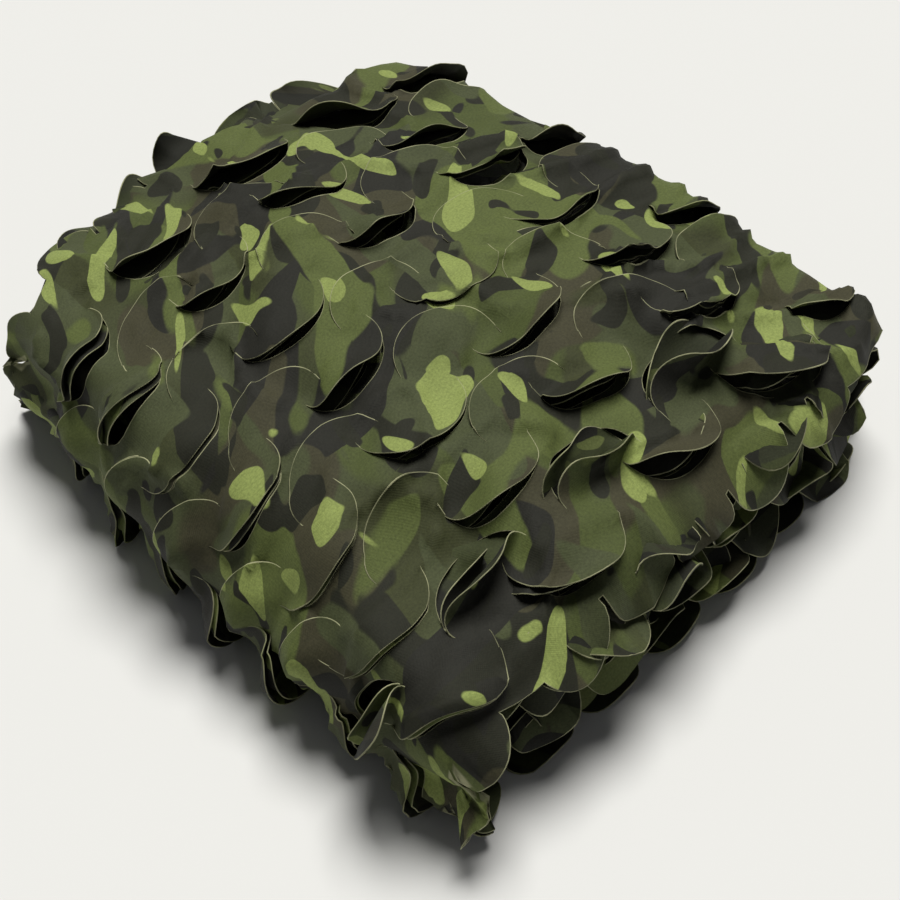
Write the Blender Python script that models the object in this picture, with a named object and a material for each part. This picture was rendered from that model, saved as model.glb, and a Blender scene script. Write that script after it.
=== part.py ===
"""Folded camouflage netting: one leaf-cut cloth, folded back and forth into a low domed wad."""

import math
import random
from collections import namedtuple

import bpy
from mathutils import Vector
from mathutils.geometry import delaunay_2d_cdt

# Driving dimensions, metres. X runs across the fold bends, Y along them, Z up.
CLOTH = 0.002                 # thickness of the sheet
WIDTH = 0.448                 # flat width of the cloth between its cut edges, along Y
FRONT_EDGE = -0.176           # where the cut edge lies on the -Y side
BACK_EDGE = 0.236             # cut edge on the +Y side, at its ends
BACK_BOW = 0.040              # how far that edge bows out between them
NARROWING = 0.23              # loss of length for each metre towards +Y
STACK = 0.084                 # height of the stacked layers at the corners
CROWN = 0.060                 # rise of the dome above the stack
CROWN_X = 0.030               # the highest place
CROWN_Y = 0.060
DOME_X = 0.265                # half lengths of the dome
DOME_Y = 0.275
DROOP_FROM = 0.030            # the layers start to droop this far inside a cut edge
DROOP = 0.014                 # how far the top layer has dropped 50 mm farther out
WRAP_BULGE = 0.050            # how far the outer turn rounds out at the -X side
WRAP_SQUARENESS = 0.80        # below 1 the outer turn is flatter than a half ellipse
BEND_BULGE = 0.008            # how far each inner bend rounds out
LAYER_WAVE = 0.0018           # unevenness of the inner layers, below the topmost pair
WAVE_LENGTH = 0.19
WAVE_SLANT = 0.7              # slope of the wave's crests across the wad
WAVE_STEP = 2.1               # how far the wave moves on, in radians, from layer to layer

# Leaf cuts: half-oval cuts in rows, with every other one turned round.
LEAF_PITCH = 0.100            # along X, from one leaf to the next of its kind
ROW_PITCH = 0.060             # along Y, from one hinge line to the next
LIFTED_X = 0.083              # first lifted leaf on the top layer, from the start of its run
FIRST_ROW = -0.1775           # hinge line of the first row
ROW_MARGIN = 0.012            # least cloth left between a leaf's tip and the cut edge
LEAF_HALF = 0.0365            # half the width of a leaf at its hinge
LEAF_DEPTH = 0.033            # from the hinge to the tip of the leaf
LEAF_ROUNDNESS = 2.3          # exponent of the oval
LIFTED_GAP = 0.012            # opening at the tip of a lifted leaf
CLOSED_GAP = 0.0055           # opening at the tip of a leaf that lies flat
LIFT = 0.013                  # height of a lifted tip
CLOSED_LIFT = 0.002
LIFT_SPREAD = 0.3             # share by which the lifts differ from leaf to leaf
LEAF_CURL = 1.5               # above 1 a lifted leaf curls up towards its tip
HEM_LIFT = 0.026              # lifted leaves in the row along the -Y edge stand out more
HEM_GAP = 0.016
BEND_LIFT = 0.020             # leaves on the +X bends stick straight out
BEND_GAP = 0.013
BEND_FALL = 0.28              # and fall away by this share of their reach
ARC_STEPS = 6                 # segments in each leaf's outline
BEND_ARC_STEPS = 12           # and in the outline of a leaf that goes round a bend
TONGUE_DEPTH = 0.026          # leaves that stick out past the cut edges
TONGUE_WIDTH = 0.86           # their width as a share of a whole leaf's
TONGUE_PITCH = 0.086
HEM_TONGUE = 0.014            # depth of the scallops on the top layer's -Y edge
WRAP_TONGUES = (0.24, 0.72)   # where they sit on the outer turn
TONGUE_FALL = 0.004           # how far their tips hang down
TONGUE_SWAY = 0.003           # how much that differs from leaf to leaf
SWAY_LENGTH = 0.17            # length of cloth over which it comes round again
BACK_RISE = 0.019             # tips along the top layer's +Y edge stand up instead

# Spacing of the mesh
RUN_STEP = 0.050
TOP_STEP = 0.034
BEND_STEPS = 5
WRAP_STEPS = 9
ROWS = 8
KEEP_CLEAR = 0.0085           # grid points stay this far from an outline
EDGE_SLACK = 0.0002           # a point this close to a leaf's edge counts as on it

# Layers from the floor up. share: height as a share of the top layer's. left, right: where its
# flat run ends. shift: how far it has slid along Y. leaf: where its first tongue sits.
Layer = namedtuple("Layer", "share left right shift leaf")
LAYERS = (
    Layer(share=0.00, left=-0.158, right=0.204, shift=0.000, leaf=0.030),
    Layer(share=0.15, left=-0.171, right=0.210, shift=-0.004, leaf=0.081),
    Layer(share=0.30, left=-0.179, right=0.198, shift=0.003, leaf=0.074),
    Layer(share=0.45, left=-0.189, right=0.202, shift=-0.002, leaf=0.063),
    Layer(share=0.61, left=-0.187, right=0.196, shift=0.005, leaf=0.072),
    Layer(share=0.77, left=-0.176, right=0.201, shift=-0.003, leaf=0.094),
    Layer(share=0.93, left=-0.167, right=0.198, shift=0.002, leaf=0.081),
    Layer(share=1.00, left=-0.158, right=0.194, shift=-0.006, leaf=0.048),
)
TOP = len(LAYERS) - 1
FOLD_ORDER = (0,) + tuple(range(TOP, 0, -1))      # the base turns up round the rest, over the top

# Main creases of the top. x, y: middle. turn: direction in degrees. reach, spread: half length
# and half width. rise: height.
Ridge = namedtuple("Ridge", "x y turn reach spread rise")
RIDGES = (
    Ridge(x=-0.070, y=-0.120, turn=62, reach=0.090, spread=0.026, rise=0.011),
    Ridge(x=-0.130, y=-0.040, turn=10, reach=0.060, spread=0.022, rise=0.008),
    Ridge(x=0.020, y=-0.060, turn=80, reach=0.100, spread=0.020, rise=0.007),
    Ridge(x=0.110, y=-0.110, turn=100, reach=0.070, spread=0.022, rise=0.010),
    Ridge(x=-0.060, y=0.100, turn=35, reach=0.080, spread=0.024, rise=0.007),
    Ridge(x=0.100, y=0.120, turn=-20, reach=0.090, spread=0.026, rise=0.006),
    Ridge(x=0.040, y=-0.010, turn=15, reach=0.110, spread=0.018, rise=-0.006),
    Ridge(x=-0.110, y=0.060, turn=95, reach=0.080, spread=0.020, rise=-0.007),
)

CLOTH_COLOUR = (0.075, 0.092, 0.036, 1.0)
CLOTH_ROUGHNESS = 0.78

# A stretch of the folded section: a flat run along one layer, or a bend between two.
Span = namedtuple("Span", "start length bend lower upper towards_right")
# One leaf cut. u, v: middle of its hinge on the flat cloth. side: +1 or -1, the way it points.
# outward: whether it sticks out along X from a bend, and not square to the cloth.
Leaf = namedtuple("Leaf", "u v side gap lift outward")


def clear_scene():
    for item in list(bpy.data.objects):
        bpy.data.objects.remove(item, do_unlink=True)


def length_share(x):
    return (x - LAYERS[0].left) / (LAYERS[0].right - LAYERS[0].left)


def back_edge(x):
    return BACK_EDGE + BACK_BOW * max(0.0, 1 - (2 * length_share(x) - 1) ** 2)


def top_height(x, y):
    """Height of the middle of the top layer's cloth: stack, dome, main creases and droop."""
    along = max(0.0, 1.0 - ((x - CROWN_X) / DOME_X) ** 2)
    across = max(0.0, 1.0 - ((y - CROWN_Y) / DOME_Y) ** 2)
    height = STACK + CROWN * along * across
    for ridge in RIDGES:
        turn = math.radians(ridge.turn)
        dx = x - ridge.x
        dy = y - ridge.y
        along = (dx * math.cos(turn) + dy * math.sin(turn)) / ridge.reach
        across = (dy * math.cos(turn) - dx * math.sin(turn)) / ridge.spread
        height += ridge.rise * math.exp(-along ** 2 - across ** 2)
    outside = max(FRONT_EDGE + DROOP_FROM - y, y - back_edge(x) + DROOP_FROM, 0.0)
    return height - DROOP * (outside / 0.050) ** 2


def layer_height(number, x, y):
    layer = LAYERS[number]
    base = CLOTH / 2
    height = base + layer.share * (top_height(x, y) - base)
    if number in (0, TOP - 1, TOP):
        return height
    turn = 2 * math.pi * (x + WAVE_SLANT * y) / WAVE_LENGTH + WAVE_STEP * number
    return height + LAYER_WAVE * math.sin(turn)


def section_spans():
    """The section from its free end on the floor to its free end above it, as runs and bends."""
    spans = []
    start = 0.0
    towards_right = False
    for place, number in enumerate(FOLD_ORDER):
        layer = LAYERS[number]
        length = layer.right - layer.left
        spans.append(Span(start, length, False, number, number, towards_right))
        start += length
        if place + 1 < len(FOLD_ORDER):
            following = FOLD_ORDER[place + 1]
            middle = top_height(layer.left, 0.0)
            half = abs(LAYERS[following].share - layer.share) * middle / 2
            bulge = WRAP_BULGE if number == 0 else BEND_BULGE
            length = math.pi * math.sqrt((half ** 2 + bulge ** 2) / 2)
            spans.append(Span(start, length, True, number, following, towards_right))
            start += length
        towards_right = not towards_right
    return spans


SPANS = section_spans()
LENGTH = SPANS[-1].start + SPANS[-1].length
TOP_SPAN = next(span for span in SPANS if not span.bend and span.lower == TOP)
WRAP_SPAN = next(span for span in SPANS if span.bend and span.lower == 0)


def span_at(u):
    for span in SPANS:
        if u <= span.start + span.length:
            return span
    return SPANS[-1]


def folded(u, v):
    """Where a point of the flat cloth lies in the wad."""
    span = span_at(u)
    share = (u - span.start) / span.length
    first = LAYERS[span.lower]
    second = LAYERS[span.upper]
    if span.bend:
        end = "right" if span.towards_right else "left"
        outward = 1 if span.towards_right else -1
        from_x = getattr(first, end)
        to_x = getattr(second, end)
        turn = math.pi * min(max(share, 0.0), 1.0)
        squareness = WRAP_SQUARENESS if span.lower == 0 else 1.0
        bulge = WRAP_BULGE if span.lower == 0 else BEND_BULGE
        rounded = math.sin(turn) ** squareness
        x = from_x + (to_x - from_x) * share + outward * bulge * rounded
        mix = (1 - math.cos(turn)) / 2
    else:
        from_x = first.left if span.towards_right else first.right
        to_x = first.right if span.towards_right else first.left
        x = from_x + (to_x - from_x) * share
        mix = 0.0
    shift = first.shift + (second.shift - first.shift) * mix
    across = (v + WIDTH / 2) / WIDTH
    y = FRONT_EDGE + (back_edge(x) - FRONT_EDGE) * across + shift
    x *= 1 - NARROWING * y
    low = layer_height(span.lower, x, y)
    high = layer_height(span.upper, x, y)
    return Vector((x, y, low + (high - low) * mix))


def outward_normal(u, v):
    """Direction that faces out of the wad on the outer turn and the top layer."""
    step = 0.002
    along = folded(u + step, v) - folded(u - step, v)
    across = folded(u, v + step) - folded(u, v - step)
    return along.cross(across).normalized()


def leaf_rows(side):
    """Hinge lines of the leaves of one kind, which lie whole inside the cut edges."""
    limit = WIDTH / 2 - ROW_MARGIN
    rows = [FIRST_ROW + ROW_PITCH * row for row in range(int(WIDTH / ROW_PITCH))]
    return [v for v in rows if max(abs(v), abs(v + side * LEAF_DEPTH)) < limit]


def leaf_cuts():
    """Leaves that show: those of the outer turn, of the top layer and of the +X bends."""
    chance = random.Random(5)
    first = WRAP_SPAN.start + LEAF_HALF
    last = TOP_SPAN.start + TOP_SPAN.length - LEAF_HALF
    cuts = []
    for side in (-1, 1):
        middle = TOP_SPAN.start + (LIFTED_X if side < 0 else LIFTED_X + LEAF_PITCH / 2)
        columns = [middle + LEAF_PITCH * number for number in range(-3, 4)]
        for v in leaf_rows(side):
            for u in columns:
                if not first < u < last:
                    continue
                lift = CLOSED_LIFT
                gap = CLOSED_GAP
                if side < 0:
                    at_hem = v == FIRST_ROW and u > TOP_SPAN.start
                    lift = HEM_LIFT if at_hem else LIFT
                    lift *= chance.uniform(1 - LIFT_SPREAD, 1 + LIFT_SPREAD)
                    gap = HEM_GAP if at_hem else LIFTED_GAP
                cuts.append(Leaf(u, v, side, gap, lift, False))
    for span in SPANS:
        if span.bend and span.towards_right:
            for v in leaf_rows(-1):
                lift = BEND_LIFT * chance.uniform(1 - LIFT_SPREAD, 1 + LIFT_SPREAD)
                cuts.append(Leaf(span.start + span.length / 2, v, -1, BEND_GAP, lift, True))
    return cuts


def oval(share, depth):
    """Point of a leaf's outline: share runs from -1 to 1 across its hinge."""
    p = math.sin(share * math.pi / 2)
    return p * LEAF_HALF, depth * (1 - abs(p) ** LEAF_ROUNDNESS) ** (1 / LEAF_ROUNDNESS)


def leaf_outline(leaf):
    """Crescent that a leaf leaves open: out along the cut, back along the leaf's own edge."""
    steps = BEND_ARC_STEPS if leaf.outward else ARC_STEPS
    shares = [step / steps * 2 - 1 for step in range(steps + 1)]
    cut = [oval(share, LEAF_DEPTH) for share in shares]
    edge = [oval(share, LEAF_DEPTH - leaf.gap) for share in reversed(shares[1:-1])]
    return [(leaf.u + p, leaf.v + leaf.side * q) for p, q in cut + edge]


def leaf_lift(u, v, leaves):
    """How far, and which way, a point that lies on a leaf has moved off the cloth."""
    for leaf in leaves:
        p = (u - leaf.u) / LEAF_HALF
        q = (v - leaf.v) * leaf.side
        if abs(p) < 0.999 and q > 0:
            cap = (1 - abs(p) ** LEAF_ROUNDNESS) ** (1 / LEAF_ROUNDNESS)
            reach = (LEAF_DEPTH - leaf.gap) * cap
            if q <= reach + EDGE_SLACK:
                way = Vector((1, 0, -BEND_FALL)) if leaf.outward else outward_normal(u, v)
                return way * leaf.lift * cap * (q / reach) ** LEAF_CURL
    return Vector((0, 0, 0))


def tongue_places(span):
    """Middles of the tongues along one run or the outer turn, kept off the other bends."""
    if span is WRAP_SPAN:
        return [span.start + span.length * share for share in WRAP_TONGUES]
    margin = LEAF_HALF * TONGUE_WIDTH
    places = []
    along = LAYERS[span.lower].leaf
    while along < span.length - margin:
        offset = along if span.towards_right else span.length - along
        if margin < offset < span.length - margin:
            places.append(span.start + offset)
        along += TONGUE_PITCH
    return sorted(places)


def bend_columns(span):
    steps = WRAP_STEPS if span.lower == 0 else BEND_STEPS
    return [span.start + span.length * step / steps for step in range(steps + 1)]


def edge_points(side):
    """One cut edge of the flat cloth, from u = 0 to its end, with the leaves that stick out."""
    edge = side * WIDTH / 2
    points = []
    for span in SPANS:
        if span.bend and span is not WRAP_SPAN:
            points += [(u, edge) for u in bend_columns(span)[1:-1]]
            continue
        points.append((span.start, edge))
        depth = HEM_TONGUE if span is TOP_SPAN and side < 0 else TONGUE_DEPTH
        for place in tongue_places(span):
            for step in range(ARC_STEPS + 1):
                p, q = oval(step / ARC_STEPS * 2 - 1, depth)
                points.append((place + p * TONGUE_WIDTH, edge + side * q))
        if not span.bend:
            points.append((span.start + span.length, edge))
    return points


def inside(point, outline):
    """Whether a flat point lies inside a closed outline."""
    x, y = point
    crossings = 0
    for (ax, ay), (bx, by) in zip(outline, outline[1:] + outline[:1]):
        if (ay > y) != (by > y) and x < ax + (y - ay) * (bx - ax) / (by - ay):
            crossings += 1
    return crossings % 2 == 1


def distance_to(point, segments):
    """Distance from a flat point to the nearest of some segments."""
    nearest = 1.0
    x, y = point
    for (ax, ay), (bx, by) in segments:
        dx = bx - ax
        dy = by - ay
        share = ((x - ax) * dx + (y - ay) * dy) / (dx * dx + dy * dy)
        share = min(max(share, 0.0), 1.0)
        nearest = min(nearest, math.hypot(ax + share * dx - x, ay + share * dy - y))
    return nearest


def grid_points(cut_segments):
    """Points inside the cloth: closer where it bends, and away from the cuts."""
    columns = []
    for span in SPANS:
        if span.bend:
            columns += bend_columns(span)
            continue
        step = TOP_STEP if span is TOP_SPAN else RUN_STEP
        count = round(span.length / step)
        columns += [span.start + span.length * number / count for number in range(1, count)]
    rows = [(row / ROWS - 0.5) * WIDTH for row in range(1, ROWS)]
    points = []
    for u in columns:
        near = [pair for pair in cut_segments if abs(pair[0][0] - u) < 2 * LEAF_DEPTH]
        for v in rows:
            if distance_to((u, v), near) > KEEP_CLEAR:
                points.append((u, v))
    return points


def flat_cloth(leaves):
    """Flat triangles of the cloth with its cuts open."""
    border = edge_points(-1) + list(reversed(edge_points(1)))
    outlines = [border] + [leaf_outline(leaf) for leaf in leaves]
    points = []
    edges = []
    for outline in outlines:
        first = len(points)
        points += outline
        edges += [(first + i, first + (i + 1) % len(outline)) for i in range(len(outline))]
    cut_segments = [(points[a], points[b]) for a, b in edges[len(border):]]
    points += grid_points(cut_segments)
    flat = [Vector(point) for point in points]
    verts, _, faces, _, _, _ = delaunay_2d_cdt(flat, edges, [], 1, 1e-6, False)
    holes = outlines[1:]
    kept = []
    for face in faces:
        middle = sum((verts[i] for i in face), Vector((0, 0))) / len(face)
        near = [hole for hole in holes if abs(hole[0][0] - middle.x) < 3 * LEAF_HALF]
        on_cloth = abs(middle.y) < WIDTH / 2 or inside(middle, border)
        if on_cloth and not any(inside(middle, hole) for hole in near):
            kept.append(face)
    return verts, kept


def tongue_curl(u, v):
    """Rise or fall of the leaves past the cut edges: up at the back of the top, down elsewhere."""
    outside = abs(v) - WIDTH / 2
    span = span_at(u)
    if outside <= 0 or span.lower == 0:
        return 0.0
    share = (outside / TONGUE_DEPTH) ** LEAF_CURL
    if span.lower == TOP and v > 0:
        return BACK_RISE * share
    sway = math.sin(2 * math.pi * u / SWAY_LENGTH + span.lower)
    return (TONGUE_SWAY * sway - TONGUE_FALL) * share


def make_netting():
    leaves = leaf_cuts()
    flat, faces = flat_cloth(leaves)
    coords = []
    for u, v in flat:
        place = folded(u, v) + leaf_lift(u, v, leaves)
        place.z = max(place.z + tongue_curl(u, v), CLOTH / 2)
        coords.append(place)
    middle_x = (min(place.x for place in coords) + max(place.x for place in coords)) / 2
    middle_y = (min(place.y for place in coords) + max(place.y for place in coords)) / 2
    centre = Vector((middle_x, middle_y, 0))
    mesh = bpy.data.meshes.new("netting")
    mesh.from_pydata([place - centre for place in coords], [], faces)
    mesh.shade_smooth()
    netting = bpy.data.objects.new("netting", mesh)
    bpy.context.scene.collection.objects.link(netting)
    thickness = netting.modifiers.new("thickness", "SOLIDIFY")
    thickness.thickness = CLOTH
    thickness.offset = 0.0
    netting.data.materials.append(cloth_material())


def cloth_material():
    material = bpy.data.materials.new("netting cloth")
    material.use_nodes = True
    shader = material.node_tree.nodes["Principled BSDF"]
    shader.inputs["Base Color"].default_value = CLOTH_COLOUR
    shader.inputs["Roughness"].default_value = CLOTH_ROUGHNESS
    shader.inputs["Metallic"].default_value = 0.0
    return material


clear_scene()
make_netting()
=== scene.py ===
import math
import random

import bpy
import numpy as np
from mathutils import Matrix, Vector, noise
from mathutils.geometry import delaunay_2d_cdt
from mathutils.kdtree import KDTree


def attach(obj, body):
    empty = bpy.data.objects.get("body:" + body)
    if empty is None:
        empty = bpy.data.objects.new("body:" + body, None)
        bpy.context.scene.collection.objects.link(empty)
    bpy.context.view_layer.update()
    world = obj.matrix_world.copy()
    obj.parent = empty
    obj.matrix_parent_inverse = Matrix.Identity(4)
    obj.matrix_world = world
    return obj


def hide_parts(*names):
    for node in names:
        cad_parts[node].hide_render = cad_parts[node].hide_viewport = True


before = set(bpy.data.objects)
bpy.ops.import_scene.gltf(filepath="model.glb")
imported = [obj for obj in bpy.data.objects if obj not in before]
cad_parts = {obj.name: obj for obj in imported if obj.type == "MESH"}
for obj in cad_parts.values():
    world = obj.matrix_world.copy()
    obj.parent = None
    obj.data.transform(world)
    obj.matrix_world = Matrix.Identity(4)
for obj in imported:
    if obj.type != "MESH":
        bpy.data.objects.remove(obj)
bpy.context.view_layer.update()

print("frame loaded")

# The cloth is one length of leaf-cut netting. u runs along it through all its folds and v across it,
# both in metres on the flat cloth. In the wad x runs across the bends, y along them and z up.
fold = dict(
    width=0.448,  # flat width between the cut edges
    frontEdge=-0.176, backEdge=0.236,
    backBow=0.040,  # how much further back the middle of that edge lies
    narrowing=0.23,
    stack=0.084,  # height at the rims
    crown=0.060,  # and how much higher the middle of the top is
    crownX=0.030, crownY=0.060, domeX=0.265, domeY=0.275,
    droopFrom=0.030,  # the top droops from this far inside its cut edges
    droopReach=0.050, droop=0.014,
    floorGap=0.001,  # middle of the lowest layer above the floor
    wrapBulge=0.050,  # the outer turn, at -X
    wrapSquareness=0.80, bendBulge=0.008,
    bendClear=0.003,  # room between the outer turn and the bends inside it
    cornerEase=0.027,  # the outer turn is drawn in at its back corner
    cornerFrom=0.52, cornerUpTo=1.2,
    layerWave=0.0018,  # the hidden layers wave a little
    waveLength=0.19, waveSlant=0.7, waveStep=2.1,
    middleX=0.005788,  # middle of the wad, which the part's origin lies under
    middleY=0.049779,
)
halfWidth = fold["width"] / 2

# other seeds give other random draws
seeds = dict(leaves=11, points=3, puckers=21, edgeLeaves=8)


def named(names, rows):
    return [dict(zip(names.split(), row)) for row in rows]


# layers from the floor up: height as a share of the top one's, ends of the flat run, slide along y,
# place of the first leaf that sticks out past the cut edges
layers = named("share left right shift leaf", [
    (0.00, -0.158, 0.204, 0.000, 0.030),
    (0.15, -0.171, 0.210, -0.004, 0.081),
    (0.30, -0.179, 0.198, 0.003, 0.074),
    (0.45, -0.189, 0.202, -0.002, 0.063),
    (0.61, -0.187, 0.196, 0.005, 0.072),
    (0.77, -0.176, 0.201, -0.003, 0.094),
    (0.95, -0.167, 0.198, 0.002, 0.081),
    (1.00, -0.158, 0.194, -0.006, 0.048),
])
topLayer = len(layers) - 1
foldOrder = [0] + list(range(topLayer, 0, -1))

# main creases of the top: middle, direction in degrees, half length, half width, height
ridges = named("x y turn reach spread rise", [
    (-0.070, -0.120, 62, 0.090, 0.026, 0.011),
    (-0.130, -0.040, 10, 0.060, 0.022, 0.008),
    (0.020, -0.060, 80, 0.100, 0.020, 0.007),
    (0.110, -0.110, 100, 0.070, 0.022, 0.010),
    (-0.060, 0.100, 35, 0.080, 0.024, 0.007),
    (0.100, 0.120, -20, 0.090, 0.026, 0.006),
    (0.040, -0.010, 15, 0.110, 0.018, -0.006),
    (-0.110, 0.060, 95, 0.080, 0.020, -0.007),
])

leafCut = dict(
    pitch=0.100,  # along u between leaves of one kind
    columns=(-3, 4),
    rowPitch=0.060,  # along v between hinge lines
    liftedX=0.083,  # first lifted leaf from the start of the top run
    firstRow=-0.1775, rowMargin=0.012,
    half=0.0365,  # half width at the hinge
    depth=0.033, roundness=2.3,
    topLean=(-24.0, 9.0),  # how far cuts lean from the cloth's length, in degrees
    wrapLean=(-15.0, 15.0),
    wander=0.0035,  # how far they lie off their places
    sizes=(0.90, 1.07),
    clear=0.0040,  # least cloth between two cuts
    tries=9,
    endLeafSize=0.72,  # the last leaves of the top, which stand open over its bend
    endLeafIn=0.005,
    lobesUpTo=0.070,  # leaves this low on the outer turn stand out as lobes
    rimRow=0.155,  # rows further out than this stand open over the bent rim
    skew=(0.0, 1.1),  # how much more a leaf lifts at the end of its cut that lies to the outer turn
    topSwell=(-0.15, 1.0), wrapSwell=(0.7, 2.0),
    wave=0.0026,  # how far a leaf's rim waves up and down
    waves=3.4,
    wavesFrom=0.3,  # leaves turned less than this wave less
    leastTurn=0.01,
    gapGrowth=1.3,  # how the gap grows towards the tip
    arcStep=0.0033,  # spacing of points along a cut
    leastSteps=6,
)

# how a leaf is turned at its tip, in radians, and how far it has drawn back from its cut
leafKinds = dict(
    closed=dict(turn=(0.06, 0.27), gap=(0.0, 0.0014)),
    outer=dict(turn=(0.14, 0.40), gap=(0.0008, 0.0032)),
    slim=dict(turn=(0.24, 0.58), gap=(0.0010, 0.0045)),
    wide=dict(turn=(0.50, 0.90), gap=(0.002, 0.006)),
    rim=dict(turn=(0.70, 1.20), gap=(0.002, 0.006)),
    rolled=dict(turn=(1.7, 2.3), gap=(0.005, 0.010)),
    lobe=dict(turn=(0.50, 1.0), gap=(0.0, 0.002)),
)

# share of the leaves of each kind, for leaves that point to the front and to the back
kindShares = {
    ("wrap", -1): (("outer", 0.72), ("slim", 0.22), ("wide", 0.06)),
    ("wrap", 1): (("closed", 0.70), ("outer", 0.30)),
    ("top", -1): (("slim", 0.60), ("wide", 0.24), ("closed", 0.16)),
    ("top", 1): (("closed", 0.74), ("slim", 0.20), ("wide", 0.06)),
}

# leaves of the layer beneath the top, as shares of the top's own turn and gap
nestedLeaf = dict(
    oftenClose=0.65,  # this share of them lie close under the top's, and the others nearly flat
    close=(0.45, 0.85), flat=(0.1, 0.3), gap=(0.3, 0.7), backTurn=0.1,
)

# leaves cut close to the edges of the layers beneath the topmost two
rimLeaf = dict(
    hinge=0.1835,  # from the middle of the width
    pitch=0.082, spacing=(0.97, 1.15), first=(0.004, 0.040), endRoom=0.002, turn=(0.5, 1.35),
    gap=(0.003, 0.008),
    tilt=(-4, 4),  # in degrees
    size=(0.84, 0.96), skew=(-0.8, 0.8), phase=(0, 6),
)

# leaves that stick out from the bends at +X
bendLeaf = dict(
    lift=0.022, fall=0.28,
    curlFrom=0.65,  # leaves on bends lower than this share of the height curl down less
    wander=0.008, skew=(-0.7, 0.7), skewShare=0.4,
    frontSize=1.1,  # the foremost ones are larger and hang down
    sizes=(0.55, 0.85), frontLifts=(0.9, 1.35), lifts=(0.2, 0.9), frontCurls=(-1.2, -0.2),
    curls=(-0.2, 1.0), arch=0.94, archGrowth=0.9,
)

# leaves that stick out past the cut edges
edgeLeaf = dict(
    depth=0.024,
    depths=(0.8, 0.35),  # least share of that, and how much more it may be
    depthSeed=97, hemDepth=0.016,
    backDepth=0.029,  # of those that stand up behind the top's back edge
    width=0.74,  # share of a whole leaf's width
    pitch=0.057,
    margin=0.024,  # least run of the edge from the middle of the last one to a bend
    wrapPlaces=(0.20, 0.50, 0.80), arcStep=0.004, edgeStep=0.006,
)

weft = dict(
    thickness=0.0006,
    edgeBand=0.0008,  # width of the pale cut edge on the cloth
    topStep=0.0050, wrapStep=0.0054, pairStep=0.0095, innerStep=0.022, rimStep=0.0085,
    bendSteps=9, rimReach=0.055, jitter=0.22, bendJitter=0.6,
    cutClear=0.0034,  # least distance of other points from a cut
    leafReach=1.3,  # a leaf's triangles lie within this many half widths of its hinge
)


def backEdge(x):
    share = (x - layers[0]["left"]) / (layers[0]["right"] - layers[0]["left"])
    return fold["backEdge"] + fold["backBow"] * np.maximum(0.0, 1 - (2 * share - 1) ** 2)


def topHeight(x, y):
    along = np.maximum(0.0, 1.0 - ((x - fold["crownX"]) / fold["domeX"]) ** 2)
    across = np.maximum(0.0, 1.0 - ((y - fold["crownY"]) / fold["domeY"]) ** 2)
    height = fold["stack"] + fold["crown"] * along * across
    for ridge in ridges:
        cos, sin = math.cos(math.radians(ridge["turn"])), math.sin(math.radians(ridge["turn"]))
        dx, dy = x - ridge["x"], y - ridge["y"]
        along = (dx * cos + dy * sin) / ridge["reach"]
        across = (dy * cos - dx * sin) / ridge["spread"]
        height = height + ridge["rise"] * np.exp(-along ** 2 - across ** 2)
    outside = np.maximum(fold["frontEdge"] + fold["droopFrom"] - y, y - backEdge(x) + fold["droopFrom"])
    return height - fold["droop"] * (np.maximum(outside, 0.0) / fold["droopReach"]) ** 2


def layerHeight(number, x, y):
    base = fold["floorGap"]
    height = base + layers[number]["share"] * (topHeight(x, y) - base)
    if number in (0, topLayer - 1, topLayer):
        return height
    turn = 2 * math.pi * (x + fold["waveSlant"] * y) / fold["waveLength"] + fold["waveStep"] * number
    return height + fold["layerWave"] * np.sin(turn)


def sectionSpans():
    # the folded section from its end on the floor: flat runs with a bend between each two
    spans = []

    def addSpan(length, lower, upper, **more):
        start = spans[-1]["end"] if spans else 0.0
        right = len(spans) // 2 % 2 == 1
        side, other = ("right", "left") if right else ("left", "right")
        spans.append(dict(start=start, length=length, end=start + length, lower=lower, upper=upper,
                          bend=lower != upper, towardsRight=right, toX=layers[upper][side],
                          fromX=layers[lower][other if lower == upper else side], **more))

    for number, following in zip(foldOrder, foldOrder[1:] + [None]):
        layer = layers[number]
        addSpan(layer["right"] - layer["left"], number, number)
        if following is not None:
            half = abs(layers[following]["share"] - layer["share"]) * float(topHeight(layer["left"], 0.0)) / 2
            bulge = fold["wrapBulge" if number == 0 else "bendBulge"]
            length = math.pi * math.sqrt((half ** 2 + bulge ** 2) / 2)
            if not spans[-1]["towardsRight"]:
                bulge = -bulge if number == 0 else fold["bendClear"] - bulge
            addSpan(length, number, following, bulge=bulge)
    return spans


spans = sectionSpans()
clothLength = spans[-1]["end"]
topSpan = next(s for s in spans if not s["bend"] and s["lower"] == topLayer)
pairSpan = next(s for s in spans if not s["bend"] and s["lower"] == topLayer - 1)
wrapSpan = next(s for s in spans if s["bend"] and s["lower"] == 0)
wrapStart, topStart, topEnd = wrapSpan["start"], topSpan["start"], topSpan["end"]


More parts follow.
